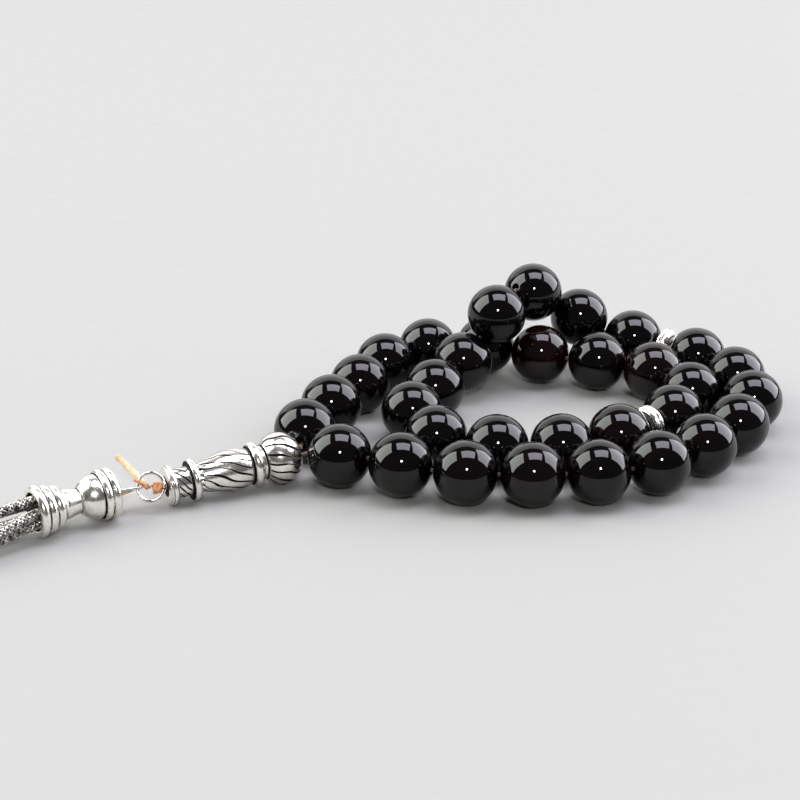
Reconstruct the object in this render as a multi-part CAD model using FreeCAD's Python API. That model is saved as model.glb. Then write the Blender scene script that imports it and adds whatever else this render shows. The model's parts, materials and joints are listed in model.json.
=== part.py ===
import FreeCAD, Part
import math
import os

# Prayer beads of thirty-three polished stone balls on one doubled string, laid out on a
# table in a loop that crosses itself once. Both string ends run through a long metal
# terminal, are knotted outside it, and hold a jump ring, a tassel cap and five wire strands.
# Millimetres. +Z is up from the table, +X runs along the loop, away from the tassel.

Vector = FreeCAD.Vector
UP = Vector(0, 0, 1)

# ---- stone beads and the string -----------------------------------------------------
bead_diameter = 10.0
bead_rows = 3
beads_in_row = 11
bead_gap = 0.12           # slack between two neighbouring beads
bore_diameter = 1.8
bore_chamfer = 0.45
string_diameter = 0.8
bend_lead = 0.7           # from a bead's mouth to where the string inside begins to bend
string_bend = 6.0         # largest bend radius of the string between two beads

# ---- disc dividers after each row ---------------------------------------------------
divider_diameter = 6.4
divider_thickness = 2.0
divider_groove = 0.35     # depth of the groove between its two ridges

# ---- terminal: base flange, short barrel, ring, long barrel, ring, neck, crown ------
base_flange_diameter = 6.3
base_flange_length = 1.3
short_barrel_diameter = 4.6
short_barrel_length = 2.4
lower_ring_diameter = 6.6
lower_ring_length = 1.2
long_barrel_foot_diameter = 4.0
long_barrel_belly_diameter = 6.4
long_barrel_top_diameter = 5.4
long_barrel_length = 8.7
belly_place = 0.75        # share of the long barrel's length from its foot to its belly
upper_ring_diameter = 7.0
upper_ring_length = 1.6
neck_diameter = 5.2
neck_length = 0.7
crown_diameter = 8.1
crown_length = 5.8
crown_top_diameter = 4.4
crown_widest = 0.48       # share of the crown's length from its foot to its widest place
terminal_bore_clearance = 0.2   # round the two strings side by side
string_spacing = 0.9      # between the two strings in the terminal
terminal_clearance = 0.05   # between the base flange and the table
terminal_foot = Vector(-39.0, -23.65, base_flange_diameter / 2 + terminal_clearance)
terminal_heading = 26.0   # degrees from +X, seen from above
terminal_rise = 2.7       # degrees up from the table
crown_lead = 0.7          # from the crown's top to where the two strings part

# ---- knots and loose thread ends ----------------------------------------------------
stop_knot_diameter = 2.2
stop_knot_gap = 0.1       # between the knot and the terminal's foot
tie_knot_diameter = 1.1
tie_thread_diameter = 0.5
tie_clearance = 0.1       # round the ring's wire
tie_gap = 0.02            # between the tie knot's thread and the stop knot
tie_knot_reach = 1.4      # from the ring's wire to the middle of the tie knot
tail_thread_diameter = 0.8
tail_route = [(-1.1, 1.2, 0.7), (-3.1, 3.5, 1.6), (-5.0, 5.6, 2.3)]   # from the tie knot
cap_thread_diameter = 0.6

# ---- jump ring ----------------------------------------------------------------------
ring_outer_diameter = 4.8
ring_wire_diameter = 0.5
ring_cut_degrees = 4.0    # the closed cut that every jump ring has
ring_turn = -12.0         # degrees that its plane is turned about +Z from the X axis
ring_lean = 26.0          # degrees that it leans back from upright
tie_place = 165.0         # degrees round the ring, 180 is the side next to the tassel
eyelet_place = 190.0

# ---- tassel cap: mouth, three ridges, plain neck, bell, two top rings ---------------
cap_mouth_wall = 1.1
cap_mouth_depth = 2.45   # ends inside the second ridge, above the thinner third one
cap_ridge_length = 1.4
cap_groove_share = 0.3    # depth of the grooves beside a ridge, per ridge length
cap_ridge_step = 0.35     # how much smaller each ridge is than the one nearer the mouth
cap_neck_wide = 4.7
cap_neck_narrow = 3.8
cap_neck_length = 2.9
cap_bell_diameter = 6.8
cap_bell_length = 3.1
cap_top_diameter = 7.8
cap_top_ring_length = 1.3
cap_top_bore = 2.4
cap_top_place = (-46.45, -27.1)
tassel_heading = 212.0    # degrees from +X, seen from above

# ---- eyelet, plug and tassel strands ------------------------------------------------
eyelet_wire = 0.45
eyelet_clearance = 0.08
eyelet_leg_spacing = 0.47
ring_to_cap = 4.0         # from the ring's wire to the cap's top
plug_clearance = 0.05
plug_length = 0.7
strand_diameter = 1.8
strand_spacing = 0.316    # between neighbouring strands where they enter the cap
strand_clearance = 0.2    # between the strands and the cap's mouth
strand_gap = 0.1          # between a strand's inner end and the plug
strand_angles = {"1": 18, "2": -54, "3": 90, "4": 234, "5": 162}   # round the cap's mouth
strand_lead = 0.6         # straight length of each strand outside the mouth
tip_diameter = 2.4
tip_collar_diameter = 2.2
tip_collar_length = 1.0
tip_socket_clearance = 0.03
tip_wall = 0.3            # between the strand's end and the knob

# The line that the bead centres follow, round the outer loop, over the crossing and round
# the inner loop: distances from the parting of the two strings, and height above the beads
# that lie on the table. It is drawn for beads and a string of these two sizes, and it grows
# and shrinks with them.
loop_line_bead = 10.0
loop_line_length = 341.48   # from the parting, round the loop and back
loop_line = [
    (5.89, -2.66, 0), (24.89, -8.66, 0), (39.89, -9.16, 0), (54.39, -5.66, 0), (65.89, 4.34, 0),
    (72.89, 17.34, 0), (69.39, 33.34, 0), (56.89, 43.34, 0.5), (47.39, 45.84, 3.5),
    (38.89, 44.34, 9), (32.89, 37.34, 9), (26.89, 32.84, 2), (19.89, 20.34, 0), (17.39, 8.34, 0),
    (24.89, 2.34, 0), (39.89, 0.84, 0), (54.39, 7.84, 0), (63.39, 22.34, 0), (55.89, 32.34, 0),
    (41.89, 37.34, 0), (25.39, 42.84, 0), (15.39, 37.84, 0), (7.89, 23.34, 0), (0.39, 6.84, 0),
]
settling_rounds = 40      # passes in which the beads turn to line up on the string
first_bead_gap = 1.7      # from the parting of the strings to the first bead

# Each strand's route after it leaves the cap: distance from the cap's mouth, sideways, and
# height over the table.
strand_routes = {
    "1": [(6, 2.9, 3.8), (12, 4.2, 2.6), (18, 5.6, 1.6),
          (26, 6.5, 0.9), (36, 7.1, 0.9), (45, 6.7, 0.9), (53, 7.1, 0.9), (58, 6.9, 1.2)],
    "2": [(6, 1.6, 1.8), (12, 1.9, 1.1), (18, 2.2, 0.9),
          (27, 2.3, 0.9), (37, 1.5, 0.9), (46, 0.6, 0.9), (54, -0.4, 0.9), (59, -1.1, 1.2)],
    "3": [(6, -0.1, 5.2), (12, -0.2, 3.9), (18, -0.9, 2.5),
          (25, -1.8, 1.3), (33, -2.9, 0.9), (43, -5.2, 0.9), (52, -6.9, 0.9), (57, -8.0, 1.2)],
    "4": [(6, -1.6, 1.8), (12, -2.6, 1.1),
          (18, -3.9, 0.9), (27, -6.2, 0.9), (37, -8.5, 0.9), (46, -11.7, 0.9),
          (54, -14.4, 0.9), (58.5, -16.2, 1.2)],
    "5": [(6, -3.0, 3.7), (12, -5.0, 2.5),
          (18, -7.4, 1.5), (26, -10.9, 0.9), (36, -14.5, 0.9), (45, -17.9, 0.9),
          (52, -20.4, 0.9), (57, -22.6, 1.2)],
}

# ---- sizes that follow from the ones above ------------------------------------------
bead_radius = bead_diameter / 2
straight_half = bead_radius - bend_lead   # half the straight length of string in a bead
bore_radius = bore_diameter / 2
string_radius = string_diameter / 2
bead_count = bead_rows * beads_in_row
bead_pitch = bead_diameter + bead_gap
divider_pitch = bead_pitch + divider_thickness + bead_gap   # over a divider
string_length = (2 * first_bead_gap + bead_diameter + (bead_rows - 1) * divider_pitch
                 + (bead_count - bead_rows) * bead_pitch)
terminal_bore_radius = string_spacing / 2 + string_radius + terminal_bore_clearance
ring_radius = (ring_outer_diameter - ring_wire_diameter) / 2
wire_radius = ring_wire_diameter / 2
strand_radius = strand_diameter / 2
strand_circle = (strand_diameter + strand_spacing) / 2 / math.sin(math.pi / len(strand_angles))
cap_mouth_bore = 2 * (strand_circle + strand_radius + strand_clearance)
cap_mouth_diameter = cap_mouth_bore + 2 * cap_mouth_wall
cap_top = Vector(*cap_top_place, cap_mouth_diameter / 2)
strand_inset = cap_mouth_depth - plug_length - strand_gap   # how far inside the mouth it begins


def heading(degrees, rise=0.0):
    turn, lift = math.radians(degrees), math.radians(rise)
    flat = math.cos(lift)
    return Vector(flat * math.cos(turn), flat * math.sin(turn), math.sin(lift))


def toward(start, end):
    return (end - start).normalize()


terminal_axis = heading(terminal_heading, terminal_rise)
terminal_side = heading(terminal_heading + 90)
tassel_axis = heading(tassel_heading)
tassel_side = heading(tassel_heading + 90)
ring_right = heading(ring_turn)
ring_up = heading(ring_turn + 90) * math.sin(math.radians(ring_lean))
ring_up = ring_up + UP * math.cos(math.radians(ring_lean))
ring_face = ring_right.cross(ring_up)
link_point = cap_top - tassel_axis * ring_to_cap
ring_centre = link_point + ring_right * ring_radius
cap_ridges_length = 3 * cap_ridge_length
cap_length = cap_ridges_length + cap_neck_length + cap_bell_length + 2 * cap_top_ring_length
cap_mouth = cap_top + tassel_axis * cap_length
terminal_length = (base_flange_length + short_barrel_length + lower_ring_length
                   + long_barrel_length + upper_ring_length + neck_length + crown_length)
string_parting = terminal_foot + terminal_axis * (terminal_length + crown_lead)


def on_ring(degrees):
    angle = math.radians(degrees)
    return ring_centre + (ring_right * math.cos(angle) + ring_up * math.sin(angle)) * ring_radius


def along_ring(degrees):
    angle = math.radians(degrees)
    return ring_up * math.cos(angle) - ring_right * math.sin(angle)


def outline(points):
    """Edges in the XZ plane: (radius, height) is a line, four numbers are an arc
    through the first pair to the second. The outline closes on its first point."""
    edges = []
    here = Vector(points[0][0], 0, points[0][1])
    for step in points[1:] + [points[0]]:
        there = Vector(step[-2], 0, step[-1])
        if (there - here).Length > 1e-6:
            if len(step) == 4:
                edges.append(Part.Arc(here, Vector(step[0], 0, step[1]), there).toShape())
            else:
                edges.append(Part.LineSegment(here, there).toShape())
        here = there
    return Part.Wire(edges)


def turned(points):
    return Part.Face(outline(points)).revolve(Vector(), UP, 360)


def placed(shape, foot, axis, side=None):
    """Stands a shape that was made along +Z at foot, along axis, with its +X along side."""
    copy = shape.copy()
    if side is None:
        turn = FreeCAD.Rotation(UP, axis)
    else:
        turn = FreeCAD.Rotation(side, axis.cross(side), axis, "ZXY")
    copy.Placement = FreeCAD.Placement(foot, turn)
    return copy


def rounded_path(points, largest_radius):
    """Straight runs joined by tangent arcs, each as large as its two runs allow."""
    edges, radii = [], []
    here = points[0]
    for before, corner, after in zip(points, points[1:], points[2:]):
        come, go = toward(before, corner), toward(corner, after)
        half_turn = come.getAngle(go) / 2
        run = min((corner - before).Length, (after - corner).Length)
        radius = min(0.45 * run / math.tan(half_turn), largest_radius)
        setback = radius * math.tan(half_turn)
        start, end = corner - come * setback, corner + go * setback
        middle = corner + (go - come).normalize() * radius * (1 / math.cos(half_turn) - 1)
        edges.append(Part.LineSegment(here, start).toShape())
        edges.append(Part.Arc(start, middle, end).toShape())
        radii.append(radius)
        here = end
    edges.append(Part.LineSegment(here, points[-1]).toShape())
    return Part.Wire(edges), radii


def tube(name, points, diameter, largest_radius=1000.0):
    path, radii = rounded_path(points, largest_radius)
    ends = Part.Circle(points[0], toward(points[0], points[1]), diameter / 2).toShape()
    solid = path.makePipeShell([Part.Wire(ends)], True, False)
    expected = math.pi * diameter ** 2 / 4 * path.Length
    print(f"{name}: {path.Length:.1f} long, radii {min(radii):.1f} to {max(radii):.1f},"
          f" volume / (section x length) {solid.Volume / expected:.4f}")
    return solid


def ball(centre, diameter):
    return Part.makeSphere(diameter / 2, centre)


def rod(start, end, diameter):
    return Part.makeCylinder(diameter / 2, (end - start).Length, start, toward(start, end))


def place_beads():
    """Bead centres along the loop line, each one pitch from the one before."""
    growth = string_length / loop_line_length
    lift = bead_diameter / loop_line_bead
    start = Vector(string_parting.x, string_parting.y, bead_radius)
    loop = [start + Vector(x * growth, y * growth, z * lift) for x, y, z in loop_line]
    points = [string_parting] + loop + [string_parting]
    places = [0.0]
    for start, end in zip(points, points[1:]):
        places.append(places[-1] + (end - start).Length)
    line = Part.BSplineCurve()
    line.interpolate(Points=points, Parameters=places)
    where, centres = 0.0, [string_parting]
    pitch = first_bead_gap + bead_radius
    for number in range(1, bead_count + 1):
        low, high = where, min(where + 2 * pitch, places[-1])
        for _ in range(50):
            where = (low + high) / 2
            if (line.value(where) - centres[-1]).Length < pitch:
                low = where
            else:
                high = where
        centre = line.value(where)
        centres.append(Vector(centre.x, centre.y, max(centre.z, bead_radius)))
        pitch = bead_pitch if number % beads_in_row else divider_pitch
    return centres[1:]


def turn_beads(centres):
    """Bore directions on a taut string: each bore points from the mouth of the bead
    before it to the mouth of the bead after it."""
    before, after = [string_parting] + centres[:-1], centres[1:] + [string_parting]
    axes = [toward(a, b) for a, b in zip(before, after)]
    for _ in range(settling_rounds):
        leaving = [c + a * bead_radius for c, a in zip(centres, axes)]
        entering = [c - a * bead_radius for c, a in zip(centres, axes)]
        before = [string_parting] + leaving[:-1]
        after = entering[1:] + [string_parting]
        axes = [toward(a, b) for a, b in zip(before, after)]
    return axes


bead_centres = place_beads()
bead_axes = turn_beads(bead_centres)


def make_bead():
    mouth = bore_radius + bore_chamfer
    top = math.sqrt(bead_radius ** 2 - mouth ** 2)
    return turned([(bore_radius, bore_chamfer - top), (bore_radius, top - bore_chamfer),
                   (mouth, top), (bead_radius, 0, mouth, -top)])


def make_divider():
    half, rim = divider_thickness / 2, divider_diameter / 2
    valley = rim - divider_groove
    return turned([(bore_radius, -half), (valley, -half), (rim, -half / 2, valley, 0),
                   (rim, half / 2, valley, half), (bore_radius, half)])


def divider_places():
    """Middle and axis of each divider, on the straight string between two beads."""
    places = []
    for number in range(beads_in_row, bead_count, beads_in_row):
        leave = bead_centres[number - 1] + bead_axes[number - 1] * straight_half
        enter = bead_centres[number] - bead_axes[number] * straight_half
        places.append(((leave + enter) * 0.5, toward(leave, enter)))
    return places


def make_terminal():
    """Lathe outline from the foot up: every ring is half round, the crown a flat ball."""
    bore = terminal_bore_radius
    points = [(bore, 0.0)]
    height = 0.0

    def ring(diameter, length, root):
        flat = diameter / 2 - length / 2
        points.extend([(root, height), (flat, height),
                       (diameter / 2, height + length / 2, flat, height + length)])

    ring(base_flange_diameter, base_flange_length, bore)
    height += base_flange_length
    barrel = short_barrel_diameter / 2
    points.extend([(barrel, height), (barrel, height + short_barrel_length)])
    height += short_barrel_length
    ring(lower_ring_diameter, lower_ring_length, barrel)
    height += lower_ring_length
    foot, belly, top = (d / 2 for d in (long_barrel_foot_diameter, long_barrel_belly_diameter,
                                        long_barrel_top_diameter))
    points.append((foot, height))
    points.append(((foot + belly) / 2 + 0.05, height + 0.27 * long_barrel_length,
                   belly - 0.06, height + 0.55 * long_barrel_length))
    points.append((belly, height + belly_place * long_barrel_length, top, height + long_barrel_length))
    height += long_barrel_length
    ring(upper_ring_diameter, upper_ring_length, top)
    height += upper_ring_length
    neck = neck_diameter / 2
    points.extend([(neck, height), (neck, height + neck_length)])
    height += neck_length
    points.append((crown_diameter / 2, height + crown_widest * crown_length,
                   crown_top_diameter / 2, height + crown_length))
    height += crown_length
    points.extend([(bore + bore_chamfer, height), (bore, height - bore_chamfer)])
    return placed(turned(points), terminal_foot, terminal_axis)


def make_cap():
    """Lathe outline from the mouth up; the mouth is a deep cup, the top a narrow hole."""
    cup, hole = cap_mouth_bore / 2, cap_top_bore / 2
    points = [(cup, 0.0)]
    height = 0.0
    for step in range(3):
        rim = cap_mouth_diameter / 2 - step * cap_ridge_step
        root = rim - cap_groove_share * cap_ridge_length
        points.extend([(root, height),
                       (rim, height + cap_ridge_length / 2, root, height + cap_ridge_length)])
        height += cap_ridge_length
    points.append((cap_neck_wide / 2 + 0.6, height))
    points.append((cap_neck_wide / 2 + 0.15, height + 0.25, cap_neck_wide / 2, height + 0.8))
    height += cap_neck_length
    points.append((cap_neck_narrow / 2, height))
    bell, top_ring = cap_bell_diameter / 2, cap_top_diameter / 2
    points.append(((cap_neck_narrow / 2 + bell) / 2 + 0.35, height + 0.4 * cap_bell_length,
                   bell, height + cap_bell_length))
    height += cap_bell_length
    for _ in range(2):
        flat = top_ring - cap_top_ring_length / 3
        points.extend([(flat, height),
                       (top_ring, height + cap_top_ring_length / 2,
                        flat, height + cap_top_ring_length)])
        height += cap_top_ring_length
    points.extend([(hole, height), (hole, cap_mouth_depth), (cup, cap_mouth_depth)])
    return placed(turned(points), cap_mouth, tassel_axis * -1)


def make_ring():
    torus = Part.makeTorus(ring_radius, wire_radius, Vector(), UP, -180, 180,
                           360 - ring_cut_degrees)
    return placed(torus, ring_centre, ring_face, ring_right)


def make_eyelet():
    """A wire bent like a hairpin: round the ring's wire, then two legs down to the plug."""
    turn = wire_radius + eyelet_clearance + eyelet_wire / 2
    leg = eyelet_leg_spacing / 2
    start = on_ring(eyelet_place)
    to_cap = toward(start, cap_top)
    across = along_ring(eyelet_place).cross(to_cap).normalize()
    in_cap = tassel_axis * (cap_length - cap_mouth_depth)
    half = [cap_top + in_cap + across * leg, cap_top + across * leg,
            start + to_cap * 1.6 + across * leg, start + to_cap * 0.45 + across * turn,
            start - to_cap * turn + across * turn]
    other = [p - across * 2 * (leg if place < 3 else turn) for place, p in enumerate(half)]
    points = half + other[::-1]
    return tube("cap_eyelet", points, eyelet_wire, turn * 0.99)


def make_plug():
    plug = Part.makeCylinder(cap_mouth_bore / 2 - plug_clearance, plug_length)
    return placed(plug, cap_mouth - tassel_axis * cap_mouth_depth, tassel_axis)


def string_points():
    half = terminal_side * (string_spacing / 2)
    foot = terminal_foot - terminal_axis * (stop_knot_gap + stop_knot_diameter / 4)
    points = [foot - half, string_parting - half]
    for centre, axis in zip(bead_centres, bead_axes):
        points.extend([centre - axis * straight_half, centre + axis * straight_half])
    points.extend([string_parting + half, foot + half])
    return points


def strand_points(name):
    level = Vector(cap_mouth.x, cap_mouth.y, 0)
    angle = math.radians(strand_angles[name])
    side, up = strand_circle * math.cos(angle), cap_mouth.z + strand_circle * math.sin(angle)
    in_cap = [(-strand_inset, side, up), (strand_lead, side, up)]
    return [level + tassel_axis * out + tassel_side * side + UP * up
            for out, side, up in in_cap + strand_routes[name]]


def make_tip(points):
    """A collar that the strand's end sits in, and a round knob past it."""
    socket = strand_radius + tip_socket_clearance
    collar, knob = tip_collar_diameter / 2, tip_diameter / 2
    sunk = math.sqrt(knob ** 2 - collar ** 2)
    tip = turned([(0, 0), (socket, 0), (socket, -tip_collar_length),
                  (collar, -tip_collar_length), (collar, tip_wall),
                  (knob, tip_wall + sunk, 0, tip_wall + sunk + knob)])
    return placed(tip, points[-1], toward(points[-2], points[-1]))


def make_knots(bead_string):
    """The stop knot outside the terminal, the tie knot with its loop round the ring's
    wire, and the cut thread end; each is trimmed where it meets the one before."""
    stop_middle = terminal_foot - terminal_axis * (stop_knot_gap + stop_knot_diameter / 2)
    tie_middle = link_point + toward(link_point, stop_middle) * tie_knot_reach
    stop_knot = ball(stop_middle, stop_knot_diameter).cut(bead_string)
    loop_radius = wire_radius + tie_clearance + tie_thread_diameter / 2
    loop = Part.makeTorus(loop_radius, tie_thread_diameter / 2,
                          on_ring(tie_place), along_ring(tie_place))
    loop_side = on_ring(tie_place) + toward(on_ring(tie_place), tie_middle) * loop_radius
    knot_side = stop_middle + toward(stop_middle, tie_middle) * (stop_knot_diameter / 2
                                                                 + tie_gap)
    tie_knot = ball(tie_middle, tie_knot_diameter).fuse(
        [loop, rod(tie_middle, loop_side, tie_thread_diameter),
         rod(tie_middle, knot_side, tie_thread_diameter)])
    route = [tie_middle] + [tie_middle + Vector(*step) for step in tail_route]
    thread_tail = tube("thread_tail", route, tail_thread_diameter).cut(tie_knot)
    return stop_knot, tie_knot, thread_tail


def make_cap_thread():
    """The other thread end, from beside the ring into the cap's top hole, under the eyelet."""
    below = UP * (cap_top_bore / 2 - cap_thread_diameter / 2 - 0.15)
    route = [link_point + tassel_axis * 0.3 - tassel_side * 0.95 - UP * 0.95,
             link_point + tassel_axis * 1.9 - tassel_side * 0.4 - UP * 0.9,
             cap_top - below,
             cap_top + tassel_axis * (cap_length - cap_mouth_depth) - below]
    return tube("cap_thread", route, cap_thread_diameter)


def largest_solid(shape):
    return max(shape.Solids, key=lambda solid: solid.Volume)


def build():
    nodes = {}
    bead, divider = make_bead(), make_divider()
    for number, (centre, axis) in enumerate(zip(bead_centres, bead_axes), start=1):
        nodes[f"bead_{number:02d}"] = placed(bead, centre, axis)
    for number, (middle, axis) in enumerate(divider_places(), start=1):
        nodes[f"divider_{number}"] = placed(divider, middle, axis)
    nodes["bead_string"] = tube("bead_string", string_points(), string_diameter, string_bend)
    nodes["terminal"] = make_terminal()
    knots = make_knots(nodes["bead_string"])
    for name, knot in zip(("stop_knot", "tie_knot", "thread_tail"), knots):
        nodes[name] = largest_solid(knot)
    nodes["jump_ring"] = make_ring()
    nodes["cap_eyelet"] = make_eyelet()
    nodes["cap_thread"] = make_cap_thread()
    nodes["tassel_cap"] = make_cap()
    nodes["strand_plug"] = make_plug()
    for name in strand_routes:
        points = strand_points(name)
        nodes[f"strand_{name}"] = tube(f"strand_{name}", points, strand_diameter)
        nodes[f"strand_tip_{name}"] = make_tip(points)
    return nodes


nodes = build()
os.makedirs("parts", exist_ok=True)
for name, shape in nodes.items():
    shape.exportStep(f"parts/{name}.step")
print(f"{len(nodes)} nodes")
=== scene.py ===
import json
import math
import random

import bmesh
import bpy
from mathutils import Matrix, Quaternion, Vector, noise


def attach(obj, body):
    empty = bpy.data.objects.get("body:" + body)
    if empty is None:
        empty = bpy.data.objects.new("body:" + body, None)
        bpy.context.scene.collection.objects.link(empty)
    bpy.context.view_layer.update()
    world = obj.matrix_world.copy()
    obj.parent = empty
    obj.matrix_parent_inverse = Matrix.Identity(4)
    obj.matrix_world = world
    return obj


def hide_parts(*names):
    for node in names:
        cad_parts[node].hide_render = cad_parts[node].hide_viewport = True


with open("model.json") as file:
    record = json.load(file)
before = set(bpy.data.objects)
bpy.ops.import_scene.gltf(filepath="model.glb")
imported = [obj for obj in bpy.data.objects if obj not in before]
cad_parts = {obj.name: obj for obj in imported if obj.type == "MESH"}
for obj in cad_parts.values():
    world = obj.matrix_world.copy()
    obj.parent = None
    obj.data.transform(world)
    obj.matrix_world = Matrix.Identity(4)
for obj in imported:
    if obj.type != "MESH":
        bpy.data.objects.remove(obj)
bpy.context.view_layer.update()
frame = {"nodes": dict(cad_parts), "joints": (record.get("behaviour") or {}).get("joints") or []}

scene = bpy.context.scene
up = Vector((0, 0, 1))
mm = 0.001
jointOf = {joint["name"]: joint for joint in frame["joints"]}
random.seed(33)
print("frame:", len(frame["nodes"]), "nodes")

# camera
camera = {"place": (-0.0035, -0.2962, 0.13787), "tilt": 66.17, "lens": 90.27}
cameraData = bpy.data.cameras.new("camera")
cameraData.lens = camera["lens"]
cameraData.clip_start = 0.01
cameraObject = bpy.data.objects.new("camera", cameraData)
cameraObject.location = camera["place"]
cameraObject.rotation_euler = (math.radians(camera["tilt"]), 0, 0)
scene.collection.objects.link(cameraObject)
scene.camera = cameraObject


def heading(degrees):
    turn = math.radians(degrees)
    return Vector((math.cos(turn), math.sin(turn), 0))


def routeLine(points, perSpan):
    # the points of a smooth NURBS line through the route, in order
    curve = bpy.data.curves.new("route", "CURVE")
    curve.dimensions = "3D"
    spline = curve.splines.new("NURBS")
    spline.points.add(len(points) - 1)
    for point, place in zip(spline.points, points):
        point.co = (*place, 1)
    spline.order_u = 3
    spline.use_endpoint_u = True
    spline.resolution_u = perSpan
    holder = bpy.data.objects.new("route", curve)
    mesh = bpy.data.meshes.new_from_object(holder)
    line = [v.co.copy() for v in mesh.vertices]
    bpy.data.objects.remove(holder)
    bpy.data.curves.remove(curve)
    bpy.data.meshes.remove(mesh)
    return line


def lineFrames(line):
    # place, side and lift along the line, without any twist of its own
    tangents = [(b - a).normalized() for a, b in zip(line, line[1:])]
    tangents.append(tangents[-1])
    side = tangents[0].orthogonal().normalized()
    frames = []
    for place, tangent in zip(line, tangents):
        side = (side - tangent * side.dot(tangent)).normalized()
        frames.append((place, side, tangent.cross(side)))
    return frames


def lineLengths(line):
    lengths = [0.0]
    for a, b in zip(line, line[1:]):
        lengths.append(lengths[-1] + (b - a).length)
    return lengths


def tubeMesh(lines, radius, sides=1, taper=None, closed=False):
    # round tubes along ready lines, as one mesh
    curve = bpy.data.curves.new("tube", "CURVE")
    curve.dimensions = "3D"
    curve.bevel_depth = radius
    curve.bevel_resolution = sides
    curve.use_fill_caps = not closed
    for line in lines:
        spline = curve.splines.new("POLY")
        spline.points.add(len(line) - 1)
        for number, (point, place) in enumerate(zip(spline.points, line)):
            point.co = (*place, 1)
            point.radius = taper(number / (len(line) - 1)) if taper else 1.0
        spline.use_cyclic_u = closed
    holder = bpy.data.objects.new("tube", curve)
    mesh = bpy.data.meshes.new_from_object(holder)
    bpy.data.objects.remove(holder)
    bpy.data.curves.remove(curve)
    return mesh


def latheMesh(profile, steps, longest=None, shape=None):
    # a closed outline of (radius, height) in mm, spun round Z
    bm = bmesh.new()
    oxide = bm.verts.layers.float.new("oxide")
    verts = [bm.verts.new((r, 0, z)) for r, z in profile]
    for a, b in zip(verts, verts[1:] + verts[:1]):
        bm.edges.new((a, b))
    while longest:
        tooLong = [e for e in bm.edges if e.calc_length() > longest]
        if not tooLong:
            break
        bmesh.ops.subdivide_edges(bm, edges=tooLong, cuts=1)
    bmesh.ops.spin(bm, geom=bm.verts[:] + bm.edges[:], cent=(0, 0, 0), axis=(0, 0, 1),
                   angle=2 * math.pi, steps=steps, use_merge=True)
    bmesh.ops.remove_doubles(bm, verts=bm.verts[:], dist=1e-5)
    bmesh.ops.recalc_face_normals(bm, faces=bm.faces[:])
    if shape:
        for v in bm.verts:
            radius = math.hypot(v.co.x, v.co.y)
            change, dark = shape(math.atan2(v.co.y, v.co.x), v.co.z, radius)
            v[oxide] = dark
            if radius > 1e-6:
                v.co.x *= (radius + change) / radius
                v.co.y *= (radius + change) / radius
    bmesh.ops.scale(bm, vec=(mm, mm, mm), verts=bm.verts[:])
    for face in bm.faces:
        face.smooth = True
    mesh = bpy.data.meshes.new("lathe")
    bm.to_mesh(mesh)
    bm.free()
    return mesh


def arc(start, middle, end, count):
    # points of the arc through three (radius, height) points, without the start
    a, b, c = (Vector(p) for p in (start, middle, end))
    d = 2 * (a.x * (b.y - c.y) + b.x * (c.y - a.y) + c.x * (a.y - b.y))
    x = (a.dot(a) * (b.y - c.y) + b.dot(b) * (c.y - a.y) + c.dot(c) * (a.y - b.y)) / d
    y = (a.dot(a) * (c.x - b.x) + b.dot(b) * (a.x - c.x) + c.dot(c) * (b.x - a.x)) / d
    centre = Vector((x, y))
    first = a - centre
    sweep = first.angle_signed(b - centre) + (b - centre).angle_signed(c - centre)
    return [tuple(centre + Matrix.Rotation(-sweep * k / count, 2) @ first)
            for k in range(1, count + 1)]


def stand(mesh, foot, axis, side=None):
    # stands a mesh that was made along Z at foot, along axis
    across = (side or axis.orthogonal()).normalized()
    across = (across - axis * across.dot(axis)).normalized()
    turn = Matrix((across, axis.cross(across), axis)).transposed().to_4x4()
    mesh.transform(Matrix.Translation(foot) @ turn)
    return mesh


def addPiece(name, mesh, body, nodes, slot, *materials):
    mesh.name = name
    for material in materials:
        mesh.materials.append(material)
    for polygon in mesh.polygons:
        polygon.use_smooth = True
    piece = bpy.data.objects.new(name, mesh)
    scene.collection.objects.link(piece)
    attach(piece, body)
    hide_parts(*nodes)
    return piece


def joined(parts):
    # several meshes as one, each with its material number
    bm = bmesh.new()
    for mesh, number in parts:
        before = len(bm.faces)
        bm.from_mesh(mesh)
        bm.faces.ensure_lookup_table()
        for face in bm.faces[before:]:
            face.material_index = number
        bpy.data.meshes.remove(mesh)
    mesh = bpy.data.meshes.new("joined")
    bm.to_mesh(mesh)
    bm.free()
    return mesh


# materials
def hexColour(code):
    # sRGB hex to the linear colour that a shader takes
    parts = [int(code[k:k + 2], 16) / 255 for k in (1, 3, 5)]
    return [c / 12.92 if c <= 0.04045 else ((c + 0.055) / 1.055) ** 2.4 for c in parts] + [1.0]


def addNode(tree, kind, links=None, values=None, **settings):
    node = tree.nodes.new(kind)
    for key, value in settings.items():
        setattr(node, key, value)
    for key, value in (values or {}).items():
        node.inputs[key].default_value = value
    for key, socket in (links or {}).items():
        tree.links.new(socket, node.inputs[key])
    return node


def newMaterial(name):
    material = bpy.data.materials.new(name)
    material.use_nodes = True
    tree = material.node_tree
    shader = tree.nodes["Principled BSDF"]
    coords = addNode(tree, "ShaderNodeTexCoord").outputs["Object"]
    return material, tree, shader, coords


def ramp(tree, factor, stops):
    node = addNode(tree, "ShaderNodeValToRGB", {"Fac": factor})
    elements = node.color_ramp.elements
    while len(elements) < len(stops):
        elements.new(0.5)
    for element, (place, colour) in zip(elements, stops):
        element.position = place
        element.color = hexColour(colour)
    return node.outputs["Color"]


def spread(tree, value, low, high, toLow, toHigh):
    ends = {"From Min": low, "From Max": high, "To Min": toLow, "To Max": toHigh}
    return addNode(tree, "ShaderNodeMapRange", {"Value": value}, ends).outputs["Result"]


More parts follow.
